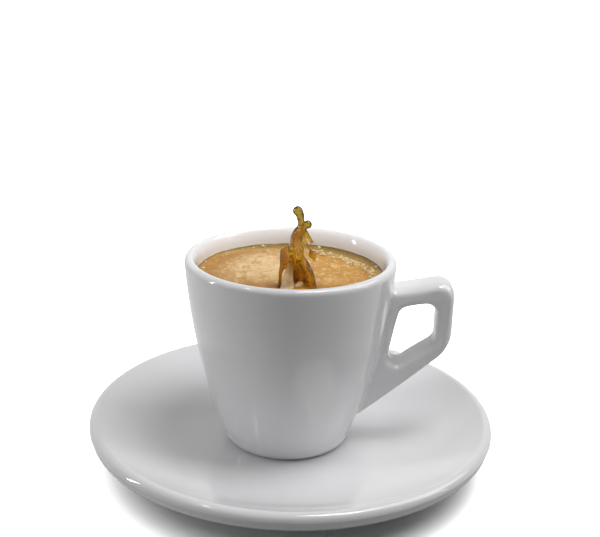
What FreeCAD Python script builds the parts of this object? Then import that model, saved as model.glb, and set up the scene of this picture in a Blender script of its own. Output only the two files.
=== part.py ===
"""An espresso in its cup, on its saucer, with a splash thrown up from the drink.

Millimetres, +Z up. The origin is at the middle of the saucer, on the surface it stands on;
the cup's handle points along +X.
"""
import FreeCAD, Part
import math
import os
import re

import Sketcher

V = FreeCAD.Vector

# Every size that can be set by itself, with its name in the sheet.
SIZES = {
    # saucer
    "saucer_radius": 60.0,        # out to the lip
    "saucer_height": 16.0,        # table to the top of the lip
    "saucer_floor": 8.0,          # table to the flat middle that the cup stands on
    "saucer_flat": 24.0,          # radius of that flat middle
    "lip_round": 2.0,             # radius of the rolled lip
    "lip_drop": 4.5,              # depth of the lip's outer side, below its top
    "lip_lean": 0.7,              # how far the lip's outer side leans in, going down
    "ring_radius": 34.5,          # foot ring, outside
    "ring_width": 3.2,
    "ring_height": 3.4,
    "ring_soft": 0.7,             # softening of the foot ring's edges
    # cup
    "cup_shift": 1.2,             # the cup stands this far off the saucer's middle, away from the handle
    "cup_height": 56.8,
    "rim_radius": 30.5,
    "wall_thick": 3.3,
    "wall_curve": 186.0,          # radius of the wall's long outward curve
    "foot_radius": 17.0,
    "foot_flare": 2.1,            # the rounded heel stands out this far from the foot
    "foot_rise": 3.2,             # and goes up this far
    "heel_round": 4.0,
    "foot_width": 3.0,            # ring that the cup stands on
    "foot_hollow": 1.0,           # hollow under the cup
    "floor_thick": 5.0,
    "bowl_round": 7.0,            # rounding between the bowl's floor and its wall
    # handle
    "handle_reach": 17.1,         # beyond the rim
    "handle_thick": 6.0,
    "side_thick": 5.0,            # the upright side and the lower arm are a little thinner
    "handle_width": 11.0,
    "handle_soft": 2.0,           # rounding of the strap's edges
    "arm_drop": 5.2,              # rim down to the outer end of the upper arm
    "arm_rise": 2.9,              # the upper arm climbs this much between the rim's radius and its end
    "elbow_drop": 21.4,           # end of the upper arm down to the lower elbow
    "brace_root": 9.0,            # height above the cup's foot at which the lower arm leaves the wall
    "root_strip": 3.0,            # thickness of the strip that lies along the wall
    "corner_round": 5.0,          # upper outer corner
    "elbow_round": 12.0,          # lower outer elbow
    "eye_round": 3.6,             # corners of the gap
    # drink
    "drink_drop": 5.6,            # rim down to the top of the crema
    "crema_thick": 3.0,
    "drink_gap": 0.05,            # kept clear between the drink and the wall
    # splash
    "splash_side": 2.0,           # its foot, to the right of the cup's middle
    "splash_front": 12.0,         # and in front of it
    "splash_foot": 6.4,           # radius of its foot, where it passes through the crema
    "splash_height": 22.3,        # crema up to the middle of the top bead
    "splash_spread": 4.5,         # from its middle out to the thin left leg
    "leg_radius": 2.0,
    "bead_radius": 1.25,
}

# Strands of the splash. Each is a run of round sections: across and toward the front as shares
# of the spread, up as a share of the height, and thickness as a share of a leg's radius.
STRANDS = {
    "back_leg": ((-0.36, -0.36, 0.00, 0.98), (-0.38, -0.34, 0.12, 0.74), (-0.36, -0.26, 0.23, 0.66),
                 (-0.28, -0.10, 0.36, 0.61), (-0.20, -0.02, 0.50, 0.54)),
    "right_leg": ((0.90, 0.10, 0.00, 0.84), (0.86, 0.10, 0.07, 0.70), (0.78, 0.08, 0.15, 0.65),
                  (0.66, 0.06, 0.23, 0.62), (0.46, 0.02, 0.30, 0.61), (0.26, 0.00, 0.38, 0.55),
                  (0.11, 0.00, 0.41, 0.51)),
    "left_leg": ((-1.07, 0.12, 0.00, 0.34), (-1.08, 0.12, 0.05, 0.17), (-1.07, 0.12, 0.13, 0.16),
                 (-1.03, 0.10, 0.21, 0.20), (-0.95, 0.06, 0.26, 0.31), (-0.88, 0.03, 0.33, 0.46),
                 (-0.84, 0.00, 0.40, 0.60), (-0.80, 0.00, 0.475, 0.56), (-0.47, 0.00, 0.52, 0.35)),
    "trunk": ((-0.12, 0.00, 0.38, 0.50), (-0.16, 0.00, 0.445, 1.05), (-0.17, 0.00, 0.50, 1.14),
              (-0.16, 0.00, 0.565, 1.15), (-0.12, 0.00, 0.625, 1.10), (-0.04, 0.00, 0.68, 0.93),
              (0.09, 0.00, 0.74, 0.80), (0.16, 0.00, 0.79, 0.56), (0.15, 0.00, 0.845, 0.42),
              (0.15, 0.01, 0.895, 0.42), (0.07, 0.02, 0.945, 0.50), (-0.06, 0.02, 0.99, 0.56)),
    "finger": ((0.26, 0.02, 0.783, 0.29), (0.51, 0.05, 0.713, 0.24), (0.77, 0.08, 0.62, 0.21)),
    "thread": ((0.30, 0.03, 0.69, 0.24), (0.53, 0.10, 0.585, 0.15), (0.80, 0.14, 0.48, 0.20)),
}

# Beads at the strands' ends: across, toward the front, up, and size as a share of a bead's radius.
BEADS = {
    "top_bead": (-0.10, 0.02, 1.00, 0.98),
    "side_bead": (0.54, 0.02, 0.83, 0.86),
    "finger_bead": (0.79, 0.08, 0.615, 0.42),
    "thread_bead": (0.90, 0.14, 0.45, 0.88),
}

doc = FreeCAD.newDocument("espresso_shot")
sheet = doc.addObject("Spreadsheet::Sheet", "Sizes")
for row, (alias, size) in enumerate(SIZES.items(), start=1):
    sheet.set(f"A{row}", alias)
    sheet.set(f"B{row}", str(size))
    sheet.setAlias(f"B{row}", alias)
doc.recompute()


def cells(formula):
    """The formula with each size's name pointing at its cell in the sheet."""
    return re.sub(r"[a-z]+_[a-z]+", lambda found: "Sizes." + found.group(0), formula)


def number(formula):
    """What the formula comes to now."""
    return float(sheet.evalExpression(cells(formula)))


def bind(thing, prop, formula):
    thing.setExpression(prop, cells(formula))


# ---- sketches and features ----

def new_body(name, across="0", front="0", up="0"):
    """A sub-part, set down at its place above the saucer's middle."""
    body = doc.addObject("PartDesign::Body", name)
    body.Label = name
    bind(body, "Placement.Base.x", across)
    bind(body, "Placement.Base.y", front)
    bind(body, "Placement.Base.z", up)
    return body


def new_sketch(body, name, plane, lift="0"):
    """An empty sketch on one of the body's own planes, moved along the plane's normal."""
    sketch = body.newObject("Sketcher::SketchObject", name)
    face = next(item for item in body.Origin.OriginFeatures if item.Role == plane)
    sketch.AttachmentSupport = [(face, "")]
    sketch.MapMode = "FlatFace"
    bind(sketch, "AttachmentOffset.Base.z", lift)
    return sketch


def pin(sketch, geometry, point, across, up):
    """Hold one point of a sketch at a place that follows the sheet."""
    for kind, formula in (("DistanceX", across), ("DistanceY", up)):
        index = sketch.addConstraint(
            Sketcher.Constraint(kind, -1, 1, geometry, point, number(formula)))
        bind(sketch, f"Constraints[{index}]", formula)


def arc_between(start, end, radius, side):
    """An arc from start to end that bulges to the left (side 1) or right (side -1) of the way."""
    chord = end - start
    sag = radius - math.sqrt(radius ** 2 - chord.Length ** 2 / 4)
    left = V(-chord.y, chord.x, 0).normalize()
    return Part.Arc(start, (start + end) / 2 + left * (side * sag), end)


def outline(body, name, plane, corners, arcs=None):
    """A closed sketch through the corners. arcs names the edges, by the corner they start
    at, that are arcs: a radius and the side they bulge to."""
    sketch = new_sketch(body, name, plane)
    arcs = arcs or {}
    places = [V(number(across), number(up), 0) for across, up in corners]
    count = len(corners)
    for i, start in enumerate(places):
        end = places[(i + 1) % count]
        if i in arcs:
            radius, side = arcs[i]
            sketch.addGeometry(arc_between(start, end, number(radius), side), False)
        else:
            sketch.addGeometry(Part.LineSegment(start, end), False)
    # An arc is kept counter-clockwise, so one that bulges right starts at its first corner.
    heads = [2 if i in arcs and arcs[i][1] > 0 else 1 for i in range(count)]
    for i, (across, up) in enumerate(corners):
        before = (i - 1) % count
        sketch.addConstraint(Sketcher.Constraint("Coincident", before, 3 - heads[before], i, heads[i]))
        pin(sketch, i, heads[i], across, up)
    for i, (radius, _) in arcs.items():
        index = sketch.addConstraint(Sketcher.Constraint("Radius", i, number(radius)))
        bind(sketch, f"Constraints[{index}]", radius)
    return sketch


def circle(body, name, across, front, up, radius):
    """A sketch of one level circle."""
    sketch = new_sketch(body, name, "XY_Plane", up)
    centre = V(number(across), number(front), 0)
    sketch.addGeometry(Part.Circle(centre, V(0, 0, 1), number(radius)), False)
    pin(sketch, 0, 3, across, front)
    index = sketch.addConstraint(Sketcher.Constraint("Radius", 0, number(radius)))
    bind(sketch, f"Constraints[{index}]", radius)
    return sketch


def turned(body, kind, sketch):
    """A solid (Revolution) or a cut (Groove) turned about the body's upright axis."""
    feature = body.newObject("PartDesign::" + kind, sketch.Name + "_" + kind.lower())
    feature.Profile = sketch
    feature.ReferenceAxis = (sketch, ["V_Axis"])
    feature.Angle = 360
    doc.recompute()
    return feature


def rounded(body, feature, name, radius, chosen):
    """Round those edges of the feature that the test chooses."""
    edges = [f"Edge{i}" for i, edge in enumerate(feature.Shape.Edges, start=1) if chosen(edge)]
    fillet = body.newObject("PartDesign::Fillet", name)
    fillet.Base = (feature, edges)
    bind(fillet, "Radius", radius)
    doc.recompute()
    return fillet


# ---- saucer ----

def make_saucer():
    """A low dish with a flat middle, one long hollow curve out to a rolled lip, and a foot ring."""
    lip_across = "(saucer_radius - lip_round)"
    lip_up = "(saucer_height - lip_round)"
    run = f"({lip_across} - saucer_flat)"
    climb = f"({lip_up} - saucer_floor)"
    # The dish leaves the flat middle level and runs smoothly into the lip.
    dish = f"(({run}^2 + {climb}^2 - lip_round^2) / (2 * (lip_round + {climb})))"
    share = f"({dish} / ({dish} + lip_round))"
    join = (f"saucer_flat + {run} * {share}", f"saucer_floor + {dish} - ({dish} - {climb}) * {share}")
    corners = [
        ("0", "ring_height"),
        ("ring_radius - ring_width", "ring_height"),
        ("ring_radius - ring_width", "0"),
        ("ring_radius", "0"),
        ("ring_radius", "ring_height"),
        ("saucer_radius - lip_lean", "saucer_height - lip_drop"),
        ("saucer_radius", "saucer_height - lip_round"),
        join,
        ("saucer_flat", "saucer_floor"),
        ("0", "saucer_floor"),
    ]
    arcs = {6: ("lip_round", -1), 7: (dish, 1)}
    body = new_body("saucer")
    dish_solid = turned(body, "Revolution", outline(body, "saucer_section", "XZ_Plane", corners, arcs))
    ring_inside = number("ring_radius - ring_width")
    softened = {round(number("ring_radius"), 3), round(ring_inside, 3)}
    rounded(body, dish_solid, "ring_edges", "ring_soft", lambda edge: (
        edge.BoundBox.ZLength < 1e-6 and edge.BoundBox.ZMax < 1e-6
        and round(edge.BoundBox.XMax, 3) in softened))
    return body


# ---- cup ----

# The wall's outside is one arc, from the top of the heel up to the rim.
HEEL = ("(foot_radius + foot_flare)", "foot_rise")
RIM = ("rim_radius", "(cup_height - wall_thick / 2)")
CHORD_OUT = f"({RIM[0]} - {HEEL[0]})"
CHORD_UP = f"({RIM[1]} - {HEEL[1]})"
CHORD = f"sqrt({CHORD_OUT}^2 + {CHORD_UP}^2)"
TO_CENTRE = f"sqrt(wall_curve^2 - {CHORD}^2 / 4)"
CENTRE_ACROSS = f"(({RIM[0]} + {HEEL[0]}) / 2 - {TO_CENTRE} * {CHORD_UP} / {CHORD})"
CENTRE_UP = f"(({RIM[1]} + {HEEL[1]}) / 2 + {TO_CENTRE} * {CHORD_OUT} / {CHORD})"


def wall_radius(up, inset="0"):
    """Radius of the wall at a height above the foot, on its outside or inset from it."""
    return f"({CENTRE_ACROSS} + sqrt((wall_curve - ({inset}))^2 - (({up}) - {CENTRE_UP})^2))"


def bowl_corners(top, gap="0"):
    """Section of the bowl's inside, or of what fills it, from its floor up to a height."""
    inset = f"wall_thick + {gap}"
    bowl_side = "(floor_thick + bowl_round)"
    return [
        ("0", "floor_thick"),
        (f"{wall_radius(bowl_side, inset)} - bowl_round", "floor_thick"),
        (wall_radius(bowl_side, inset), bowl_side),
        (wall_radius(top, inset), top),
    ]


def bowl_arcs(gap="0"):
    return {1: ("bowl_round * 1.1", -1), 2: (f"wall_curve - wall_thick - ({gap})", -1)}


def make_cup():
    """A tall round cup with a full-round rim and a strap handle shaped like an ear.

    The handle is padded first and rounded, the cup's outside is turned over it, and the bowl is
    cut last, which leaves nothing of the handle inside."""
    body = new_body("cup", "-cup_shift", "0", "saucer_floor")
    side = "(rim_radius + handle_reach)"
    arm_top = "(cup_height - arm_drop)"
    arm_slope = "(arm_rise / handle_reach)"
    arm_deep = f"(handle_thick * sqrt(1 + {arm_slope}^2))"
    elbow = f"({arm_top} - elbow_drop)"
    root = wall_radius("brace_root")
    brace_slope = f"(({elbow} - brace_root) / ({side} - {root}))"
    brace_deep = f"(side_thick * sqrt(1 + {brace_slope}^2))"
    strap = outline(body, "handle_side", "XZ_Plane", [
        ("foot_radius", f"{arm_top} - {arm_slope} * ({side} - foot_radius)"),
        ("foot_radius", f"brace_root - {brace_slope} * ({root} - foot_radius)"),
        (side, elbow),
        (side, arm_top),
    ])
    pad = body.newObject("PartDesign::Pad", "handle_pad")
    pad.Profile = strap
    pad.SideType = "Symmetric"
    bind(pad, "Length", "handle_width")
    doc.recompute()

    # The gap keeps the strap's thickness on three sides and the root strip along the wall.
    eye_top = f"({arm_top} - {arm_slope} * handle_reach - {arm_deep})"
    eye_low = wall_radius(f"(brace_root + {elbow}) / 2")
    eye = outline(body, "handle_eye", "XZ_Plane", [
        (f"{wall_radius(eye_top)} + root_strip", eye_top),
        (f"{eye_low} + root_strip",
         f"{elbow} + {brace_deep} - {brace_slope} * ({side} - {eye_low} - root_strip)"),
        (f"{side} - side_thick", f"{elbow} + {brace_deep} - {brace_slope} * side_thick"),
        (f"{side} - side_thick", f"{arm_top} - {arm_slope} * side_thick - {arm_deep}"),
    ])
    solid_volume = pad.Shape.Volume
    pocket = body.newObject("PartDesign::Pocket", "handle_gap")
    pocket.Profile = eye
    pocket.SideType = "Symmetric"
    bind(pocket, "Length", "2 * handle_width")
    doc.recompute()
    if pocket.Shape.Volume >= solid_volume:
        raise RuntimeError("the handle's gap cuts nothing")

    outer = number(side)
    middle = number(f"{side} - side_thick / 2")

    def crosses(edge):
        return edge.BoundBox.YLength > number("handle_width") / 2

    corner = rounded(body, pocket, "handle_corner", "corner_round", lambda edge: (
        crosses(edge) and edge.BoundBox.XMin > outer - 1e-3 and edge.BoundBox.ZMin > number(arm_top) - 1e-3))
    bend = rounded(body, corner, "handle_elbow", "elbow_round", lambda edge: (
        crosses(edge) and edge.BoundBox.XMin > outer - 1e-3
        and abs(edge.BoundBox.ZMin - number(elbow)) < 1e-3))
    inner_low = number("foot_radius") + 1e-3
    eyes = rounded(body, bend, "eye_corners", "eye_round", lambda edge: (
        crosses(edge) and inner_low < edge.BoundBox.XMin < middle))
    half = number("handle_width") / 2
    rounded(body, eyes, "handle_edges", "handle_soft", lambda edge: (
        edge.BoundBox.YLength < 1e-6 and abs(abs(edge.BoundBox.YMin) - half) < 1e-3
        and edge.BoundBox.XMax > inner_low))

    lip_centre = f"({RIM[0]} - wall_thick / 2)"
    turned(body, "Revolution", outline(body, "cup_section", "XZ_Plane", [
        ("0", "foot_hollow"),
        ("foot_radius - foot_width", "foot_hollow"),
        ("foot_radius - foot_width", "0"),
        ("foot_radius", "0"),
        HEEL,
        RIM,
        (lip_centre, "cup_height"),
        ("0", "cup_height"),
    ], {3: ("heel_round", -1), 4: ("wall_curve", -1), 5: ("wall_thick / 2", -1)}))
    bowl_top = RIM[1]
    corners = bowl_corners(bowl_top)
    corners += [(lip_centre, "cup_height"), ("0", "cup_height")]
    arcs = bowl_arcs()
    arcs[3] = (f"({lip_centre} - {wall_radius(bowl_top, 'wall_thick')})", 1)
    whole = body.Shape.Volume
    turned(body, "Groove", outline(body, "bowl_section", "XZ_Plane", corners, arcs))
    if body.Shape.Volume >= whole:
        raise RuntimeError("the bowl cuts nothing")
    return body


# ---- drink ----

DRINK_TOP = "(cup_height - drink_drop)"
LIQUID_TOP = f"({DRINK_TOP} - crema_thick)"


def make_espresso():
    """The coffee itself, from the bowl's floor up to the underside of the crema."""
    body = new_body("espresso", "-cup_shift", "0", "saucer_floor")
    corners = bowl_corners(LIQUID_TOP, "drink_gap") + [("0", LIQUID_TOP)]
    turned(body, "Revolution",
           outline(body, "espresso_section", "XZ_Plane", corners, bowl_arcs("drink_gap")))
    return body


def make_crema():
    """The layer of foam on the coffee, open where the splash comes up through it."""
    body = new_body("crema", "-cup_shift", "0", "saucer_floor")
    inset = "wall_thick + drink_gap"
    corners = [
        ("0", LIQUID_TOP),
        (wall_radius(LIQUID_TOP, inset), LIQUID_TOP),
        (wall_radius(DRINK_TOP, inset), DRINK_TOP),
        ("0", DRINK_TOP),
    ]
    arcs = {1: ("wall_curve - wall_thick - drink_gap", -1)}
    layer = turned(body, "Revolution", outline(body, "crema_section", "XZ_Plane", corners, arcs))
    volume = layer.Shape.Volume
    opening = circle(body, "splash_opening", "splash_side", "-splash_front", LIQUID_TOP, "splash_foot")
    pocket = body.newObject("PartDesign::Pocket", "splash_hole")
    pocket.Profile = opening
    pocket.Reversed = True
    bind(pocket, "Length", "crema_thick")
    doc.recompute()
    if pocket.Shape.Volume >= volume:
        raise RuntimeError("the splash's opening cuts nothing")
    return body


def make_splash():
    """A round foot in the crema, two legs that meet in a trunk, and thin strands with beads."""
    body = new_body("splash", "splash_side - cup_shift", "-splash_front",
                    f"saucer_floor + {LIQUID_TOP}")
    foot = body.newObject("PartDesign::Pad", "splash_foot_disc")
    foot.Profile = circle(body, "foot_circle", "0", "0", "0", "splash_foot")
    bind(foot, "Length", "crema_thick")
    doc.recompute()
    for name, sections in STRANDS.items():
        rings = [circle(body, f"{name}_{i}", f"{across} * splash_spread", f"{-front} * splash_spread",
                        f"crema_thick + {up} * splash_height", f"{thick} * leg_radius")
                 for i, (across, front, up, thick) in enumerate(sections)]
        strand = body.newObject("PartDesign::AdditiveLoft", name)
        strand.Profile = rings[0]
        strand.Sections = rings[1:]
        strand.Ruled = True
        doc.recompute()
    for name, (across, front, up, size) in BEADS.items():
        bead = body.newObject("PartDesign::AdditiveSphere", name)
        bind(bead, "Radius", f"{size} * bead_radius")
        bind(bead, "AttachmentOffset.Base.x", f"{across} * splash_spread")
        bind(bead, "AttachmentOffset.Base.y", f"{-front} * splash_spread")
        bind(bead, "AttachmentOffset.Base.z", f"crema_thick + {up} * splash_height")
        ground = next(item for item in body.Origin.OriginFeatures if item.Role == "XY_Plane")
        bead.AttachmentSupport = [(ground, "")]
        bead.MapMode = "FlatFace"
        doc.recompute()
    return body


parts = [make_saucer(), make_cup(), make_espresso(), make_crema(), make_splash()]
doc.recompute()

for item in doc.Objects:
    if {"Invalid", "Error"} & set(item.State):
        raise RuntimeError(f"{item.Label} did not build: {item.State}")
for part in parts:
    if part.Shape.isNull() or not part.Shape.isValid() or len(part.Shape.Solids) != 1:
        raise RuntimeError(f"{part.Label} is not one sound solid")

os.makedirs("parts", exist_ok=True)
for part in parts:
    part.Shape.exportStep(os.path.join("parts", part.Label + ".step"))
    box = part.Shape.BoundBox
    print(f"{part.Label}: {part.Shape.Volume / 1000:.2f} cm3,"
          f" x {box.XMin:.1f} to {box.XMax:.1f}, y {box.YMin:.1f} to {box.YMax:.1f},"
          f" z {box.ZMin:.1f} to {box.ZMax:.1f}")
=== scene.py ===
"""Looks of the espresso: glazed cup and saucer, coffee with its crema, and the splash above it.

All lengths are metres, in the part's own frame: +Z up, handle along +X, origin under the saucer.
"""
import math
import random

import bpy
from mathutils import Matrix, Vector, noise


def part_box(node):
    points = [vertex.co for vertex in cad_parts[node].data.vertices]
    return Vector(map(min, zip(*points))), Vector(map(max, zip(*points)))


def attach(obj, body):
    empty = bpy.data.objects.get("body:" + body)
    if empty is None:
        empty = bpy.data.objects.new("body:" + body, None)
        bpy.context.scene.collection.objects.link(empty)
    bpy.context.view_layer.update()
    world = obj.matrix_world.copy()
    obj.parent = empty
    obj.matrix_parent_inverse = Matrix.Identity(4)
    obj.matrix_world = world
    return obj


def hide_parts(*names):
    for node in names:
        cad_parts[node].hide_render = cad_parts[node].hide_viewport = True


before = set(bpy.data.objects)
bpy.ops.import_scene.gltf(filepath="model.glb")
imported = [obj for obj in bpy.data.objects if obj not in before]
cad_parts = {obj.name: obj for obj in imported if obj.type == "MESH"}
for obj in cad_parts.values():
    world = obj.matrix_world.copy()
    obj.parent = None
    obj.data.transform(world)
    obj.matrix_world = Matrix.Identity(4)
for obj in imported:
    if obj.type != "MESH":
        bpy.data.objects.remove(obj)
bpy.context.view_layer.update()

MM = 0.001

# ---- places taken from the frame ----

SAUCER_LOW, SAUCER_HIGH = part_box("saucer")
CUP_LOW, CUP_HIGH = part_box("cup")
CREMA_LOW, CREMA_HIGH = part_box("crema")
SPLASH_LOW, SPLASH_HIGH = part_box("splash")

CUP_ACROSS = (CREMA_LOW.x + CREMA_HIGH.x) / 2         # the cup's axis
SAUCER_RADIUS = (SAUCER_HIGH.y - SAUCER_LOW.y) / 2
RIM_RADIUS = (CUP_HIGH.y - CUP_LOW.y) / 2
CUP_HEIGHT = CUP_HIGH.z - CUP_LOW.z
CREMA_TOP = CREMA_HIGH.z
CREMA_RADIUS = (CREMA_HIGH.y - CREMA_LOW.y) / 2
SPLASH_FOOT = (SPLASH_HIGH.y - SPLASH_LOW.y) / 2      # radius of the splash's foot
SPLASH_ACROSS = SPLASH_LOW.x + SPLASH_FOOT            # the foot's middle
SPLASH_FRONT = SPLASH_LOW.y + SPLASH_FOOT

# ---- saucer and cup sections ----

SAUCER_FLOOR = CUP_LOW.z
SAUCER_FLAT = 24.0 * MM                    # radius of the flat middle
LIP_ROUND = 2.0 * MM
LIP_DROP = 4.5 * MM
LIP_LEAN = 0.7 * MM
EDGE_ROUND = 1.3 * MM                      # rounding of the edge under the lip
EDGE_BACK = 1.2 * MM                       # that rounding starts this far along the underside
EDGE_OUT = 0.15 * MM                       # and ends this far out
EDGE_UP = 1.0 * MM                         # and up
RING_RADIUS = 34.5 * MM
RING_WIDTH = 3.2 * MM
RING_HEIGHT = 3.4 * MM
RING_SOFT = 0.7 * MM

WALL_THICK = 3.3 * MM
WALL_CURVE = 186.0 * MM
FOOT_RADIUS = 17.0 * MM
FOOT_FLARE = 2.1 * MM
FOOT_RISE = 3.2 * MM
FOOT_WIDTH = 3.0 * MM
FOOT_HOLLOW = 1.0 * MM
FOOT_SOFT = 0.5 * MM
HEEL_ROUND = 4.0 * MM
FLOOR_THICK = 5.0 * MM
BOWL_CORNER = 7.0 * MM                     # size of the rounded corner at the bowl's floor
BOWL_ROUND = 7.7 * MM                      # and its radius
RIM_SHOULDER = 4.4 * MM                    # the rim's inner side falls away softly over this height

# ---- handle ----

HANDLE_SIDE = CUP_HIGH.x - CUP_ACROSS      # outer side, from the cup's axis
HANDLE_THICK = 6.0 * MM
SIDE_THICK = 5.0 * MM
HANDLE_WIDTH = 11.0 * MM
HANDLE_SOFT = 2.5 * MM
FACE_SOFT = 3.9 * MM
ARM_DROP = 5.2 * MM
ARM_RISE = 2.9 * MM
ELBOW_DROP = 21.4 * MM
BRACE_ROOT = 9.0 * MM
ROOT_STRIP = 3.0 * MM
ROOT_DEEP = 1.6 * MM                       # how far the strip reaches into the wall
CORNER_ROUND = 4.2 * MM
ELBOW_ROUND = 11.5 * MM
EYE_ROUND = 3.3 * MM
ROOT_ROUND = 0.6 * MM                      # corners of the strap inside the wall
JOIN_ROUND = 0.7 * MM                      # hollow where the handle meets the wall

TURN_STEPS = 192


# ---- helpers for shaping ----

def start_clean():
    """Object mode with nothing selected."""
    if bpy.context.object and bpy.context.object.mode != "OBJECT":
        bpy.ops.object.mode_set(mode="OBJECT")
    bpy.ops.object.select_all(action="DESELECT")


def pick(piece):
    """Select this piece alone and work on it."""
    start_clean()
    piece.select_set(True)
    bpy.context.view_layer.objects.active = piece


def settle(piece):
    """Put the piece's place, turn and size into its mesh."""
    pick(piece)
    bpy.ops.object.transform_apply(location=True, rotation=True, scale=True)


def modify(piece, kind, **settings):
    """Add a modifier, set it and apply it."""
    pick(piece)
    modifier = piece.modifiers.new(kind.title(), kind)
    for name, value in settings.items():
        setattr(modifier, name, value)
    bpy.ops.object.modifier_apply(modifier=modifier.name)


def arc_points(start, end, radius, side, steps):
    """Points of an arc after its start. It bulges left (side 1) or right (side -1) of the way."""
    start, end = Vector(start), Vector(end)
    chord = end - start
    deep = math.sqrt(max(radius ** 2 - chord.length ** 2 / 4, 0))
    left = Vector((-chord.y, chord.x)).normalized()
    centre = (start + end) / 2 - left * side * deep
    a = math.atan2(start.y - centre.y, start.x - centre.x)
    b = math.atan2(end.y - centre.y, end.x - centre.x)
    turn = (b - a + math.pi) % (2 * math.pi) - math.pi
    return [(centre.x + radius * math.cos(a + turn * i / steps),
             centre.y + radius * math.sin(a + turn * i / steps)) for i in range(1, steps + 1)]


def line_points(start, end, steps):
    """Evenly spaced points of a straight line, after its start."""
    return [(start[0] + (end[0] - start[0]) * i / steps,
             start[1] + (end[1] - start[1]) * i / steps) for i in range(1, steps + 1)]


def turned_piece(name, section, across=0.0, steps=TURN_STEPS):
    """A closed solid of revolution: one point is drawn out along the section, then spun round
    the upright axis at that place across."""
    start_clean()
    first = section[0]
    bpy.ops.mesh.primitive_plane_add(size=MM, location=(across + first[0], 0, first[1]))
    piece = bpy.context.object
    piece.name = name
    bpy.ops.object.mode_set(mode="EDIT")
    bpy.ops.mesh.select_all(action="SELECT")
    bpy.ops.mesh.merge(type="CENTER")
    for before, after in zip(section, section[1:]):
        step = (after[0] - before[0], 0, after[1] - before[1])
        bpy.ops.mesh.extrude_vertices_move(TRANSFORM_OT_translate={"value": step})
    bpy.ops.mesh.select_all(action="SELECT")
    bpy.ops.mesh.spin(steps=steps, angle=2 * math.pi, center=(across, 0, 0), axis=(0, 0, 1))
    bpy.ops.mesh.select_all(action="SELECT")
    bpy.ops.mesh.remove_doubles(threshold=MM / 500)
    bpy.ops.mesh.normals_make_consistent(inside=False)
    bpy.ops.object.mode_set(mode="OBJECT")
    settle(piece)
    bpy.ops.object.shade_smooth()
    return piece


def small_ball():
    """A ball of radius 1, to be copied and then removed."""
    start_clean()
    bpy.ops.mesh.primitive_ico_sphere_add(subdivisions=2, radius=1.0)
    return bpy.context.object


def copied(pattern, place, size):
    """A copy of a piece, with a mesh of its own."""
    copy = pattern.copy()
    copy.data = pattern.data.copy()
    copy.location = place
    copy.scale = size
    bpy.context.scene.collection.objects.link(copy)
    return copy


def joined(pieces, name):
    """The pieces as one mesh, which takes the first one's place."""
    start_clean()
    for piece in pieces:
        piece.select_set(True)
    bpy.context.view_layer.objects.active = pieces[0]
    bpy.ops.object.join()
    pieces[0].name = name
    settle(pieces[0])
    return pieces[0]


def finish_piece(piece, material, slot, *nodes):
    """Give a piece its material and the root body, and hide the CAD nodes that it stands for. The
    slot is not used.
    """
    piece.data.materials.clear()
    piece.data.materials.append(material)
    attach(piece, "root")
    if nodes:
        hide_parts(*nodes)


# ---- shader maths ----

class Value:
    """One output of a shader node. Arithmetic on it adds Math nodes."""

    def __init__(self, shader, socket):
        self.shader, self.socket = shader, socket

    def math(self, operation, *others):
        node = self.shader.tree.nodes.new("ShaderNodeMath")
        node.operation = operation
        for slot, item in zip(node.inputs, (self, *others)):
            self.shader.feed(slot, item)
        return Value(self.shader, node.outputs[0])

    def other(self, value):
        return value if isinstance(value, Value) else self.shader.constant(value)

    def __add__(self, value):
        return self.math("ADD", value)

    __radd__ = __add__

    def __sub__(self, value):
        return self.math("SUBTRACT", value)

    def __rsub__(self, value):
        return self.other(value).math("SUBTRACT", self)

    def __mul__(self, value):
        return self.math("MULTIPLY", value)

    __rmul__ = __mul__

    def __pow__(self, value):
        return self.math("POWER", value)

    def between(self, low, high):
        """0 below low, 1 above high, smooth between them."""
        node = self.shader.node("ShaderNodeMapRange", {"interpolation_type": "SMOOTHSTEP"},
                                {"Value": self, "From Min": low, "From Max": high})
        return node["Result"]


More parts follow.
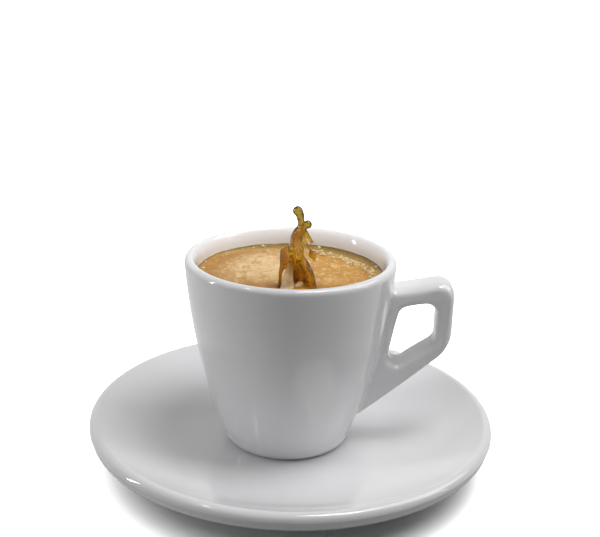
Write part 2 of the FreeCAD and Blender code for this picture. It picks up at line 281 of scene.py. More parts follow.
class Shader:
    """A material, or the world's surround, and the one way in which nodes are added to it."""

    def __init__(self, name, kind="materials"):
        self.material = getattr(bpy.data, kind).new(name)
        self.material.use_nodes = True
        self.tree = self.material.node_tree
        self.surface = self.tree.nodes.get("Principled BSDF")

    def feed(self, slot, item):
        if isinstance(item, Value):
            self.tree.links.new(item.socket, slot)
        else:
            slot.default_value = item

    def constant(self, number):
        node = self.tree.nodes.new("ShaderNodeValue")
        node.outputs[0].default_value = number
        return Value(self, node.outputs[0])

    def node(self, kind, settings, inputs):
        """Add a node, set it, feed its sockets, and return its outputs by name."""
        node = self.tree.nodes.new(kind)
        for name, value in settings.items():
            setattr(node, name, value)
        for name, item in inputs.items():
            self.feed(node.inputs[name], item)
        return {output.name: Value(self, output) for output in node.outputs}

    def place(self):
        return self.node("ShaderNodeTexCoord", {}, {})["Object"]

    def axes(self, vector):
        parts = self.node("ShaderNodeSeparateXYZ", {}, {"Vector": vector})
        return parts["X"], parts["Y"], parts["Z"]

    def stretched(self, vector, scale):
        return self.node("ShaderNodeMapping", {}, {"Vector": vector, "Scale": scale})["Vector"]

    def noise(self, vector, scale, detail=4.0, roughness=0.5, distortion=0.0):
        return self.node("ShaderNodeTexNoise", {}, {
            "Vector": vector, "Scale": scale, "Detail": detail, "Roughness": roughness,
            "Distortion": distortion})["Fac"]

    def cells(self, vector, scale):
        """Distance to the nearest of many scattered spots."""
        return self.node("ShaderNodeTexVoronoi", {}, {"Vector": vector, "Scale": scale})["Distance"]

    def blend(self, factor, first, second):
        """The first colour where the factor is 0, the second where it is 1."""
        node = self.tree.nodes.new("ShaderNodeMix")
        node.data_type = "RGBA"
        self.feed(node.inputs[0], factor)
        self.feed(node.inputs[6], first)
        self.feed(node.inputs[7], second)
        return Value(self, node.outputs[2])

    def bump(self, height, distance, strength):
        return self.node("ShaderNodeBump", {}, {
            "Height": height, "Distance": distance, "Strength": strength})["Normal"]

    def set(self, **sockets):
        """Feed the surface's sockets: words joined by _ for their spaces."""
        for name, item in sockets.items():
            self.feed(self.surface.inputs[name.replace("_", " ")], item)


def colour(red, green, blue):
    """A colour given as it looks on a screen, 0 to 255."""
    def linear(level):
        level /= 255
        return level / 12.92 if level <= 0.04045 else ((level + 0.055) / 1.055) ** 2.4
    return (linear(red), linear(green), linear(blue), 1.0)


def grey(level):
    """A neutral colour given as a share of the light it sends back."""
    return (level, level, level, 1.0)


def apart(first, second, spot):
    """Distance of a shaded point from a spot, measured in two axes."""
    return ((first - spot[0]) ** 2.0 + (second - spot[1]) ** 2.0) ** 0.5


# ---- saucer ----

def saucer_section():
    """The saucer's outline, from the middle of its underside round to the middle of its floor."""
    lip = (SAUCER_RADIUS - LIP_ROUND, SAUCER_HIGH.z - LIP_ROUND)
    run, climb = lip[0] - SAUCER_FLAT, lip[1] - SAUCER_FLOOR
    dish = (run ** 2 + climb ** 2 - LIP_ROUND ** 2) / (2 * (LIP_ROUND + climb))
    share = dish / (dish + LIP_ROUND)
    join = (SAUCER_FLAT + run * share, SAUCER_FLOOR + dish - (dish - climb) * share)
    soft = RING_SOFT
    inside = RING_RADIUS - RING_WIDTH
    edge = (SAUCER_RADIUS - LIP_LEAN, SAUCER_HIGH.z - LIP_DROP)
    under = Vector((edge[0] - RING_RADIUS, edge[1] - RING_HEIGHT)).normalized()
    below = (edge[0] - under.x * EDGE_BACK, edge[1] - under.y * EDGE_BACK)
    beside = (edge[0] + EDGE_OUT, edge[1] + EDGE_UP)
    points = [(0.0, RING_HEIGHT)]
    points += line_points(points[-1], (inside - soft, RING_HEIGHT), 10)
    points += arc_points(points[-1], (inside, RING_HEIGHT - soft), soft, 1, 4)
    points += line_points(points[-1], (inside, soft), 3)
    points += arc_points(points[-1], (inside + soft, 0.0), soft, -1, 4)
    points += line_points(points[-1], (RING_RADIUS - soft, 0.0), 3)
    points += arc_points(points[-1], (RING_RADIUS, soft), soft, -1, 4)
    points += line_points(points[-1], (RING_RADIUS, RING_HEIGHT - soft), 3)
    points += arc_points(points[-1], (RING_RADIUS + under.x * soft, RING_HEIGHT + under.y * soft),
                         0.9 * soft, 1, 4)
    points += line_points(points[-1], below, 24)
    points += arc_points(points[-1], beside, EDGE_ROUND, -1, 6)
    points += line_points(points[-1], (SAUCER_RADIUS, lip[1]), 4)
    points += arc_points(points[-1], join, LIP_ROUND, -1, 20)
    points += arc_points(points[-1], (SAUCER_FLAT, SAUCER_FLOOR), dish, 1, 44)
    points += line_points(points[-1], (0.0, SAUCER_FLOOR), 24)
    return points


# ---- cup ----

HEEL = Vector((FOOT_RADIUS + FOOT_FLARE, FOOT_RISE))
RIM = Vector((RIM_RADIUS, CUP_HEIGHT - WALL_THICK / 2))


def wall_centre():
    """Middle of the wall's long arc: across from the cup's axis, up from its foot."""
    chord = RIM - HEEL
    deep = math.sqrt(WALL_CURVE ** 2 - chord.length ** 2 / 4)
    side = Vector((-chord.y, chord.x)).normalized()
    return (RIM + HEEL) / 2 + side * deep


WALL_CENTRE = wall_centre()


def wall_radius(up, inset=0.0):
    """Radius of the wall at a height above the cup's foot."""
    return WALL_CENTRE.x + math.sqrt((WALL_CURVE - inset) ** 2 - (up - WALL_CENTRE.y) ** 2)


def cup_section():
    """The cup's outline, from the middle of its underside round to the middle of the bowl."""
    lift = CUP_LOW.z
    soft = FOOT_SOFT
    bowl_side = FLOOR_THICK + BOWL_CORNER
    inner = wall_radius(bowl_side, WALL_THICK)
    middle = (wall_radius(RIM.y, WALL_THICK) + RIM.x) / 2
    shoulder = (wall_radius(CUP_HEIGHT - RIM_SHOULDER, WALL_THICK), CUP_HEIGHT - RIM_SHOULDER)
    points = [(0.0, FOOT_HOLLOW)]
    points += line_points(points[-1], (FOOT_RADIUS - FOOT_WIDTH - soft, FOOT_HOLLOW), 6)
    points += arc_points(points[-1], (FOOT_RADIUS - FOOT_WIDTH, FOOT_HOLLOW - soft), soft, 1, 3)
    points += arc_points(points[-1], (FOOT_RADIUS - FOOT_WIDTH + soft, 0.0), soft, -1, 3)
    points += line_points(points[-1], (FOOT_RADIUS, 0.0), 4)
    points += arc_points(points[-1], tuple(HEEL), HEEL_ROUND, -1, 10)
    points += arc_points(points[-1], tuple(RIM), WALL_CURVE, -1, 56)
    points += arc_points(points[-1], (middle, CUP_HEIGHT), (RIM.x - middle) * 1.002, -1, 9)
    shoulder_steps = 16
    for k in range(1, shoulder_steps + 1):
        turn = math.pi / 2 * k / shoulder_steps
        points.append((shoulder[0] + (middle - shoulder[0]) * (1 - math.sin(turn)),
                       shoulder[1] + RIM_SHOULDER * math.cos(turn)))
    points += arc_points(points[-1], (inner, bowl_side), WALL_CURVE - WALL_THICK, 1, 30)
    points += arc_points(points[-1], (inner - BOWL_CORNER, FLOOR_THICK), BOWL_ROUND, 1, 8)
    points += line_points(points[-1], (0.0, FLOOR_THICK), 6)
    return [(across, up + lift) for across, up in points]


def rounded_corner(corners, rounds, i, steps):
    """Points round one corner of a closed outline."""
    corner = corners[i]
    into = (corner - corners[i - 1]).normalized()
    out = (corners[(i + 1) % len(corners)] - corner).normalized()
    trim = rounds[i] * math.tan(into.angle(out) / 2)
    side = 1 if into.x * out.y - into.y * out.x > 0 else -1
    start, end = corner - into * trim, corner + out * trim
    return [start] + [Vector(p) for p in arc_points(start, end, rounds[i], -side, steps)]


def rounded_loop(corners, rounds, arc_steps, side_steps):
    """A closed outline through rounded corners, with set counts of points round each corner
    and along each side, so that two outlines pair up point by point."""
    bends = [rounded_corner(corners, rounds, i, arc_steps) for i in range(len(corners))]
    points = []
    for i, bend in enumerate(bends):
        points += bend
        start, end = bend[-1], bends[(i + 1) % len(bends)][0]
        points += [start.lerp(end, k / side_steps[i]) for k in range(1, side_steps[i])]
    return points


def handle_outlines():
    """The handle's eye and its outer edge, as corners (across from the cup's axis, up)."""
    top = CUP_HEIGHT - ARM_DROP
    reach = HANDLE_SIDE - RIM_RADIUS
    slope = ARM_RISE / reach
    arm_deep = HANDLE_THICK * math.hypot(1, slope)
    elbow = top - ELBOW_DROP
    root = wall_radius(BRACE_ROOT)
    brace = (elbow - BRACE_ROOT) / (HANDLE_SIDE - root)
    brace_deep = SIDE_THICK * math.hypot(1, brace)
    eye_top = top - slope * reach - arm_deep
    strip = wall_radius((BRACE_ROOT + elbow) / 2) + ROOT_STRIP
    inner = HANDLE_SIDE - SIDE_THICK
    eye = [
        Vector((wall_radius(eye_top) + ROOT_STRIP, eye_top)),
        Vector((inner, top - slope * SIDE_THICK - arm_deep)),
        Vector((inner, elbow + brace_deep - brace * SIDE_THICK)),
        Vector((strip, elbow + brace_deep - brace * (HANDLE_SIDE - strip))),
    ]
    in_top = wall_radius(top) - ROOT_DEEP
    in_low = root - ROOT_DEEP
    edge = [
        Vector((in_top, top - slope * (HANDLE_SIDE - in_top))),
        Vector((HANDLE_SIDE, top)),
        Vector((HANDLE_SIDE, elbow)),
        Vector((in_low, BRACE_ROOT - brace * (root - in_low))),
    ]
    return eye, edge


def wall_gap(point):
    """How far a point stands out from the cup's outer wall, and the wall's outward direction."""
    out = Vector((point.x - CUP_ACROSS, point.y, 0))
    up = point.z - CUP_LOW.z
    reach = Vector((out.length - WALL_CENTRE.x, up - WALL_CENTRE.y))
    gap = reach.length - WALL_CURVE
    flat = out.normalized()
    direction = Vector((flat.x * reach.x, flat.y * reach.x, reach.y)).normalized()
    return gap, direction


def build_handle():
    """A ring bent into the handle: every round of it is one cut through the strap."""
    start_clean()
    eye, edge = handle_outlines()
    corner_steps, sides = 16, (34, 26, 44, 60)
    inner = rounded_loop(eye, [EYE_ROUND] * 4, corner_steps, sides)
    outer = rounded_loop(edge, [ROOT_ROUND, CORNER_ROUND, ELBOW_ROUND, ROOT_ROUND],
                         corner_steps, sides)
    rounds = len(inner)
    flat_steps, edge_steps = (6, 18), 8
    minor = 4 * (edge_steps + 1) + 2 * (flat_steps[0] + flat_steps[1]) - 4
    bpy.ops.mesh.primitive_torus_add(major_segments=rounds, minor_segments=minor,
                                     major_radius=HANDLE_SIDE - RIM_RADIUS,
                                     minor_radius=HANDLE_THICK / 2)
    piece = bpy.context.object
    piece.name = "handle"
    half = HANDLE_WIDTH / 2
    for i, (start, end) in enumerate(zip(inner, outer)):
        thick = (end - start).length
        across = (end - start).normalized()
        soft = min(HANDLE_SOFT, thick / 2 * 0.95)
        flatter = soft / FACE_SOFT             # the corners are longer across the strap's width
        box = [Vector((0, -half * flatter)), Vector((thick, -half * flatter)),
               Vector((thick, half * flatter)), Vector((0, half * flatter))]
        cut = rounded_loop(box, [soft] * 4, edge_steps, flat_steps * 2)
        for j, spot in enumerate(cut):
            flat = start + across * spot.x
            piece.data.vertices[i * minor + j].co = (
                CUP_ACROSS + flat.x, spot.y / flatter, CUP_LOW.z + flat.y)
    pick(piece)
    bpy.ops.object.mode_set(mode="EDIT")
    bpy.ops.mesh.select_all(action="SELECT")
    bpy.ops.mesh.normals_make_consistent(inside=False)
    bpy.ops.object.mode_set(mode="OBJECT")
    modify(piece, "SMOOTH", factor=0.5, iterations=2)

    # Where it comes near the wall the strap spreads, in a hollow that ends level with the wall.
    moves = []
    for vertex in piece.data.vertices:
        gap, out = wall_gap(vertex.co)
        normal = vertex.normal - out * vertex.normal.dot(out)
        near = min(max(JOIN_ROUND - gap, 0), JOIN_ROUND)
        spread = JOIN_ROUND - math.sqrt(JOIN_ROUND ** 2 - near ** 2)
        moves.append(normal * spread)
    for vertex, move in zip(piece.data.vertices, moves):
        vertex.co += move
    pick(piece)
    bpy.ops.object.shade_smooth()
    return piece


def build_cup():
    """The turned wall and the handle as one piece."""
    wall = turned_piece("cup_body", cup_section(), CUP_ACROSS)
    handle = build_handle()
    settle(handle)
    return joined([wall, handle], "espresso_cup")


# ---- colours ----

GLAZE_COOL = colour(229, 229, 231)
GLAZE_PALE = colour(234, 233, 234)
GLAZE_SPECK = colour(190, 184, 172)
# coffee stain on the inner wall, partly painted reflection of the crema
STAIN_AND_REFLECTION_BROWN = colour(140, 100, 52)
FOAM_TAN = colour(178, 138, 82)
FOAM_AMBER = colour(186, 138, 64)
FOAM_PALE = colour(214, 184, 138)
FOAM_SWIRL = colour(176, 126, 58)
FOAM_CREAM = colour(228, 202, 156)
FOAM_SHADE = colour(168, 122, 66)
FOAM_SPECK = colour(138, 92, 48)
FOAM_GOLD = colour(158, 108, 36)
# painted shade on the crema near the front wall
FOAM_FRONT_SHADE = colour(160, 108, 36)
MARGIN_OLIVE = colour(174, 144, 76)
MARGIN_DEEP = colour(126, 100, 48)
WALL_LINE = colour(82, 56, 26)
BARED_COFFEE = colour(134, 88, 34)
PORE_BROWN = colour(138, 94, 44)
COFFEE_BLACK = colour(44, 22, 10)
COFFEE_BROWN = colour(66, 34, 14)
AMBER_CLEAR = colour(248, 206, 64)
AMBER_GOLD = colour(230, 174, 28)
AMBER_CORD = colour(160, 104, 12)
AMBER_WING = colour(158, 106, 16)
# painted shade inside the splash's arch
AMBER_ARCH_SHADE = colour(130, 78, 18)
AMBER_OLIVE = colour(190, 158, 36)
# painted shade at the splash's outlines
AMBER_EDGE_SHADE = colour(20, 14, 3)
SKIN_MILK = colour(255, 236, 196)
SKIN_BEIGE = colour(244, 208, 146)
SKIN_GOLD = colour(184, 128, 40)
BUBBLE_PALE = colour(246, 230, 184)
BUBBLE_GOLD = colour(226, 190, 120)


# ---- materials ----

def porcelain():
    """White glaze over a faintly warm body, with a brown band inside the cup where the coffee meets
    the wall: partly a coffee stain, partly painted reflection of the crema.
    """
    shader = Shader("white_glaze")
    place = shader.place()
    cloud = shader.noise(place, 45.0, 3.0)
    speck = shader.noise(place, 1900.0, 2.0).between(0.73, 0.79)
    tone = shader.blend(cloud, GLAZE_COOL, GLAZE_PALE)
    tone = shader.blend(speck * 0.12, tone, GLAZE_SPECK)
    # A brown band where the coffee meets the wall: partly a coffee stain, partly painted reflection
    # of the crema in the glaze.
    across, along, up = shader.axes(place)
    radius = apart(across, along, (CUP_ACROSS, 0.0))
    ragged = shader.noise(place, 260.0, 4.0) * (0.9 * MM)
    above = up - (CREMA_TOP + 0.1 * MM) - ragged
    sweep = apart(radius, up, (WALL_CENTRE.x, CUP_LOW.z + WALL_CENTRE.y))
    inside = 1 - sweep.between(WALL_CURVE - WALL_THICK * 0.75, WALL_CURVE - WALL_THICK * 0.5)
    inside = inside * up.between(CUP_LOW.z + FLOOR_THICK, CUP_LOW.z + FLOOR_THICK + MM)
    stain_and_reflection = (1 - above.between(-0.3 * MM, 0.4 * MM)) * inside
    tone = shader.blend(stain_and_reflection * 0.75, tone, STAIN_AND_REFLECTION_BROWN)
    shader.set(
        Base_Color=tone,
        Roughness=0.055 + shader.noise(place, 320.0, 3.0) * 0.05,
        Normal=shader.bump(shader.noise(place, 150.0, 2.0), 0.03 * MM, 0.35),
        Coat_Weight=0.35, Coat_Roughness=0.03, Specular_IOR_Level=0.55)
    return shader.material


def crema_material():
    """Fine tan foam: pale in the middle, golden to the right, dark olive at its ragged edge, with
    painted shade toward the near wall.
    """
    shader = Shader("crema_foam")
    place = shader.place()
    across, along, up = shader.axes(place)
    radius = apart(across, along, (CUP_ACROSS, 0.0))
    cloud = shader.noise(place, 75.0, 3.0, 0.5, 0.6)
    swirl = shader.noise(place, 170.0, 6.0, 0.6, 1.4)
    fine = shader.noise(place, 1100.0, 4.0, 0.6)
    right = (across + (cloud - 0.5) * (16 * MM)).between(-5 * MM, 9 * MM)
    body = shader.blend(right, FOAM_TAN, FOAM_AMBER)
    # a pale patch left of the splash and behind it, with ragged borders
    patch = ((across + 8 * MM) ** 2.0 + ((along - 8 * MM) * 0.8) ** 2.0) ** 0.5
    patch = patch + (swirl - 0.5) * (12 * MM)
    pale = 1 - patch.between(5 * MM, 15 * MM)
    body = shader.blend(pale * 0.8, body, FOAM_PALE)
    body = shader.blend((1 - swirl.between(0.38, 0.50)) * 0.6, body, FOAM_SWIRL)
    streak = shader.noise(shader.stretched(place, (1.0, 0.6, 1.0)), 520.0, 6.0, 0.65, 0.8)
    body = shader.blend(streak.between(0.50, 0.64) * 0.5, body, FOAM_CREAM)
    body = shader.blend((1 - streak.between(0.36, 0.50)) * 0.45, body, FOAM_SHADE)
    specks = shader.noise(place, 760.0, 2.0).between(0.64, 0.70)
    body = shader.blend(specks * 0.5, body, FOAM_SPECK)
    # golden ring, then the olive liquid that shows at the wall, widest behind
    gold = radius + (swirl - 0.5) * (6 * MM)
    gold = gold.between(CREMA_RADIUS - 8.0 * MM, CREMA_RADIUS - 3.0 * MM)
    body = shader.blend(gold * 0.6, body, FOAM_GOLD)
    # painted shade: the crema turns darker gold toward the near wall
    before = 1 - (along + (swirl - 0.5) * (6 * MM)).between(-13 * MM, -5 * MM)
    body = shader.blend(before * 0.85, body, FOAM_FRONT_SHADE)
    behind = (along + across * 0.45).between(0 * MM, 24 * MM)
    ragged = (radius + (swirl - 0.5) * (4.0 * MM) + (fine - 0.5) * (1.2 * MM)
              + behind * (4.6 * MM))
    margin = ragged.between(CREMA_RADIUS - 1.2 * MM, CREMA_RADIUS + 0.9 * MM)
    body = shader.blend(margin * 0.8, body, MARGIN_OLIVE)
    deep = ragged.between(CREMA_RADIUS + 0.6 * MM, CREMA_RADIUS + 3.6 * MM)
    body = shader.blend(deep * 0.85, body, MARGIN_DEEP)
    thin = radius + (fine - 0.5) * (0.8 * MM)
    thin = thin.between(CREMA_RADIUS - 0.5 * MM, CREMA_RADIUS + 0.1 * MM)
    body = shader.blend(thin * 0.6, body, WALL_LINE)
    # the liquid is bared in a ring round the splash
    from_foot = apart(across, along, (SPLASH_ACROSS, SPLASH_FRONT)) + (swirl - 0.5) * (4.0 * MM)
    bared = from_foot.between(3.2 * MM, 4.4 * MM) * (1 - from_foot.between(5.2 * MM, 6.8 * MM))
    body = shader.blend(bared * 0.55, body, BARED_COFFEE)
    pores = shader.cells(place, 1500.0)
    body = shader.blend((1 - pores.between(0.10, 0.30)) * 0.35, body, PORE_BROWN)
    height = fine * 0.4 + pores.between(0.05, 0.5) * 0.4 + swirl * 0.6
    shader.set(
        Base_Color=body,
        Roughness=0.42 - margin * 0.28 + fine * 0.15,
        Normal=shader.bump(height, 0.12 * MM, 0.7),
        Coat_Weight=0.05, Coat_Roughness=0.15, Specular_IOR_Level=0.22)
    return shader.material


def coffee_material():
    """The dark liquid under the crema."""
    shader = Shader("dark_coffee")
    place = shader.place()
    shade = shader.noise(place, 90.0, 3.0)
    shader.set(
        Base_Color=shader.blend(shade, COFFEE_BLACK, COFFEE_BROWN),
        Roughness=0.06 + shade * 0.05, Coat_Weight=0.5)
    return shader.material


def splash_material():
    """Clear amber coffee: olive gold at the top, golden in the trunk and brown in the wing, with
    painted shade under the arch and a painted dark outline where it turns away from the lens."""
    shader = Shader("amber_coffee")
    place = shader.place()
    across, along, up = shader.axes(place)
    swirl = shader.noise(place, 420.0, 5.0, 0.6, 1.2)
    stretch = shader.noise(shader.stretched(place, (1.0, 1.0, 0.3)), 900.0, 3.0, 0.6, 0.6)
    level = up - CREMA_TOP
    tone = shader.blend(swirl.between(0.38, 0.60), AMBER_CLEAR, AMBER_GOLD)
    tone = shader.blend(stretch.between(0.50, 0.60) * 0.85, tone, AMBER_CORD)
    left = 1 - across.between(-3.4 * MM, -1.4 * MM)
    low = 1 - level.between(9.5 * MM, 12.5 * MM)
    tone = shader.blend(left * low * 0.8, tone, AMBER_WING)
    # painted shade: the liquid under the arch is darkened to red-brown
    arch = (1 - (across - 1.0 * MM).math("ABSOLUTE").between(1.6 * MM, 2.8 * MM))
    arch = arch * (1 - level.between(5.0 * MM, 8.0 * MM))
    arch = arch * along.between(SPLASH_FRONT - 0.4 * MM, SPLASH_FRONT + 0.8 * MM)
    tone = shader.blend(arch * 0.9, tone, AMBER_ARCH_SHADE)
    high = level.between(15.0 * MM, 18.5 * MM)
    tone = shader.blend(high * 0.85, tone, AMBER_OLIVE)
    # painted shade: near black where the surface turns away from the lens, strongest at the top
    edge = shader.node("ShaderNodeLayerWeight", {}, {"Blend": 0.42})["Facing"].between(0.06, 0.36)
    tone = shader.blend(edge * (0.5 + high * 0.5), tone, AMBER_EDGE_SHADE)
    shader.set(
        Base_Color=tone, Roughness=0.02 + swirl * 0.03, Transmission_Weight=0.84, IOR=1.38,
        Normal=shader.bump(stretch * 0.6 + swirl * 0.7, 0.22 * MM, 0.8),
        Coat_Weight=0.5, Coat_Roughness=0.02)
    return shader.material


def skin_material():
    """Milky beige skin of foam, half clear, golden where it thins."""
    shader = Shader("milky_foam")
    place = shader.place()
    across, along, up = shader.axes(place)
    swirl = shader.noise(place, 380.0, 5.0, 0.6, 1.0)
    tone = shader.blend(swirl.between(0.38, 0.62), SKIN_MILK, SKIN_BEIGE)
    top = up.between(CREMA_TOP + 4.0 * MM, CREMA_TOP + 8.0 * MM)
    tone = shader.blend(top * 0.8, tone, SKIN_GOLD)
    shader.set(
        Base_Color=tone, Roughness=0.10 + swirl * 0.12, Transmission_Weight=0.35, IOR=1.33,
        Normal=shader.bump(swirl, 0.10 * MM, 0.5), Coat_Weight=0.5, Coat_Roughness=0.05)
    return shader.material


def bubble_material():
    """Thin-walled bubbles: clear golden coffee with a bright glint."""
    shader = Shader("foam_bubbles")
    place = shader.place()
    shade = shader.noise(place, 700.0, 3.0)
    shader.set(
        Base_Color=shader.blend(shade, BUBBLE_PALE, BUBBLE_GOLD),
        Roughness=0.03 + shade * 0.05, Transmission_Weight=0.35, IOR=1.25, Coat_Weight=1.0,
        Coat_Roughness=0.02)
    return shader.material


# ---- drink ----

CREMA_TUCK = 0.6 * MM                             # how far the foam goes into the wall
WET_RISE, WET_REACH = 0.55 * MM, 0.8 * MM         # it climbs the porcelain
MOUND_RISE, MOUND_REACH = 1.0 * MM, 4.6 * MM      # and is lifted round the splash
RIPPLE_RISE, RIPPLE_REACH = 0.16 * MM, 9 * MM     # rings run out from there
RIPPLE_TURN = 0.9                                 # radians for each millimetre
LUMP_RISE, GRAIN_RISE = 0.16 * MM, 0.09 * MM


def build_crema():
    """The foam's top, a little into the wall, dished up where it wets the porcelain."""
    reach = CREMA_RADIUS + CREMA_TUCK
    deep = CREMA_LOW.z
    section = [(0.0, deep)]
    section += line_points(section[-1], (reach, deep), 4)
    section += line_points(section[-1], (reach, CREMA_TOP), 2)
    section += line_points(section[-1], (0.0, CREMA_TOP), 96)
    piece = turned_piece("crema_surface", section, CUP_ACROSS, 240)
    middle = Vector((CUP_ACROSS, 0, 0))
    foot = Vector((SPLASH_ACROSS, SPLASH_FRONT, 0))
    for vertex in piece.data.vertices:
        spot = vertex.co
        if spot.z < CREMA_TOP - 0.2 * MM:      # the side and the underside stay plain
            continue
        flat = Vector((spot.x, spot.y, 0))
        out = (flat - middle).length
        lift = WET_RISE * math.exp(-(CREMA_RADIUS - out) / WET_REACH) if out < reach else 0
        from_foot = (flat - foot).length
        lift += MOUND_RISE * math.exp(-(from_foot / MOUND_REACH) ** 2)
        lift += (RIPPLE_RISE * math.cos(from_foot / MM * RIPPLE_TURN)
                 * math.exp(-from_foot / RIPPLE_REACH))
        lift += LUMP_RISE * noise.noise(spot * 260) + GRAIN_RISE * noise.noise(spot * 800)
        spot.z += lift
    piece.data.update()
    return piece


# Strands of the splash: across and toward the front as shares of its spread, up as a share of
# its height, and thickness as a share of a leg's radius.
SPREAD = 4.5 * MM
SPLASH_TALL = 22.3 * MM
LEG_RADIUS = 2.0 * MM
STRANDS = {
    "back_leg": ((-0.36, -0.36, 0.00, 0.98), (-0.38, -0.34, 0.12, 0.74), (-0.36, -0.26, 0.23, 0.66),
                 (-0.28, -0.10, 0.36, 0.61), (-0.20, -0.02, 0.50, 0.54)),
    "right_leg": ((0.92, 0.10, -0.03, 0.92), (0.90, 0.10, 0.00, 0.80), (0.86, 0.10, 0.07, 0.66),
                  (0.78, 0.08, 0.15, 0.61), (0.66, 0.06, 0.23, 0.58), (0.46, 0.02, 0.30, 0.56),
                  (0.26, 0.00, 0.38, 0.55), (0.11, 0.00, 0.45, 0.51)),
    "left_leg": ((-1.07, 0.12, -0.03, 0.34), (-1.08, 0.12, 0.05, 0.17), (-1.07, 0.12, 0.13, 0.15),
                 (-1.03, 0.10, 0.21, 0.19), (-0.97, 0.06, 0.26, 0.27), (-0.92, 0.03, 0.33, 0.36),
                 (-0.90, 0.00, 0.40, 0.42), (-0.92, 0.00, 0.475, 0.36), (-0.50, 0.00, 0.53, 0.30)),
    "wing": ((-0.72, 0.00, 0.50, 0.32), (-0.68, 0.00, 0.42, 0.46), (-0.66, 0.02, 0.34, 0.42),
             (-0.78, 0.04, 0.27, 0.24)),
    "shoulder": ((-0.36, 0.02, 0.58, 0.34), (-0.42, 0.02, 0.52, 0.50), (-0.46, 0.02, 0.44, 0.52),
                 (-0.42, 0.04, 0.36, 0.34)),
    "trunk": ((-0.08, 0.00, 0.36, 0.70), (-0.10, 0.00, 0.445, 0.98), (-0.13, 0.00, 0.50, 1.04),
              (-0.14, 0.00, 0.565, 1.06), (-0.12, 0.00, 0.625, 1.02), (-0.04, 0.00, 0.68, 0.86),
              (0.09, 0.00, 0.74, 0.72), (0.16, 0.00, 0.79, 0.54), (0.15, 0.00, 0.845, 0.43),
              (0.15, 0.01, 0.895, 0.43), (0.08, 0.02, 0.945, 0.52), (-0.05, 0.02, 0.99, 0.58)),
    "chin": ((0.00, 0.02, 0.90, 0.26),),
    "arch": ((-0.24, -0.08, 0.42, 0.44), (-0.06, -0.24, 0.32, 0.60), (0.16, -0.36, 0.18, 0.86),
             (0.30, -0.42, 0.00, 1.05)),
    "finger": ((0.26, 0.02, 0.783, 0.27), (0.51, 0.05, 0.713, 0.21), (0.77, 0.08, 0.62, 0.18)),
    "thread": ((0.30, 0.03, 0.69, 0.20), (0.53, 0.10, 0.585, 0.11), (0.80, 0.14, 0.48, 0.16)),
    "top_bead": ((-0.10, 0.02, 1.00, 0.60),),
    "side_bead": ((0.54, 0.02, 0.83, 0.54),),
    "bead_neck": ((0.24, 0.02, 0.79, 0.40), (0.44, 0.02, 0.81, 0.40)),
    "finger_bead": ((0.79, 0.08, 0.615, 0.24),),
    "thread_bead": ((0.90, 0.14, 0.45, 0.52),),
    "thread_drip": ((1.00, 0.15, 0.39, 0.18),),
}
BALL_STEP = 0.16 * MM          # between the balls along a strand
CORD_LEAST = 0.7 * MM          # a thinner strand has no cords
CORD_CORE = 0.80               # the strand inside its cords, as a share of its radius
CORD_OUT = 0.56                # how far out the cords run, and how thick they are
CORD_THICK = 0.46
CORD_APART = 2.1               # radians between the cords
CORD_PITCH = 5.0 * MM          # length over which they turn by one radian
TWISTED = ("trunk", "right_leg", "back_leg", "shoulder", "arch")     # these show cords along them
# The milky skin that the splash drags up on its left, and the foam round its foot.
FOAM_STRANDS = {
    "skin_left": ((-0.36, 0.12, 0.37, 0.10), (-0.62, 0.14, 0.24, 0.20), (-0.82, 0.16, 0.12, 0.22),
                  (-0.90, 0.20, -0.02, 0.34)),
    "skin_middle": ((-0.34, 0.12, 0.36, 0.10), (-0.52, 0.16, 0.24, 0.24), (-0.64, 0.20, 0.12, 0.32),
                    (-0.66, 0.24, -0.02, 0.46)),
    "skin_right": ((-0.32, 0.10, 0.34, 0.08), (-0.38, 0.10, 0.22, 0.24), (-0.42, 0.14, 0.10, 0.36),
                   (-0.40, 0.20, -0.02, 0.52)),
    "foot_left": ((-1.15, 0.30, -0.03, 0.30), (-0.60, 0.42, -0.02, 0.44),
                  (-0.10, 0.40, -0.02, 0.50)),
    "foot_right": ((-0.10, 0.40, -0.02, 0.50), (0.35, 0.34, -0.02, 0.46), (0.80, 0.46, -0.03, 0.40),
                   (1.20, 0.30, -0.04, 0.30)),
    "heart": ((0.05, 0.05, 0.00, 0.60), (0.20, -0.05, 0.05, 0.42)),
}


def strand_places(sections, twisted):
    """Centres and radii of balls close together along one strand. A twisted strand has three
    cords that wind round its middle."""
    knots = [(Vector((across * SPREAD, -front * SPREAD, up * SPLASH_TALL)), thick * LEG_RADIUS)
             for across, front, up, thick in sections]
    if len(knots) == 1:
        return knots
    places, run = [], 0.0
    for (start, first), (end, last) in zip(knots, knots[1:]):
        way = end - start
        steps = max(2, round(way.length / BALL_STEP))
        level = way.normalized()
        side = level.cross(Vector((0, 1, 0))).normalized()
        for i in range(steps):
            share = i / steps
            spot, radius = start.lerp(end, share), first + (last - first) * share
            if not twisted or radius < CORD_LEAST:
                places.append((spot, radius))
                continue
            places.append((spot, radius * CORD_CORE))
            for cord in range(3):
                turn = cord * CORD_APART + (run + way.length * share) / CORD_PITCH
                out = Matrix.Rotation(turn, 3, level) @ side
                places.append((spot + out * radius * CORD_OUT, radius * CORD_THICK))
        run += way.length
    places.append(knots[-1])
    return places


MELT_LOSS = 0.13 * MM          # smoothing takes about this much off, so it is added first
MELT_SPREAD = 1.04             # and this share


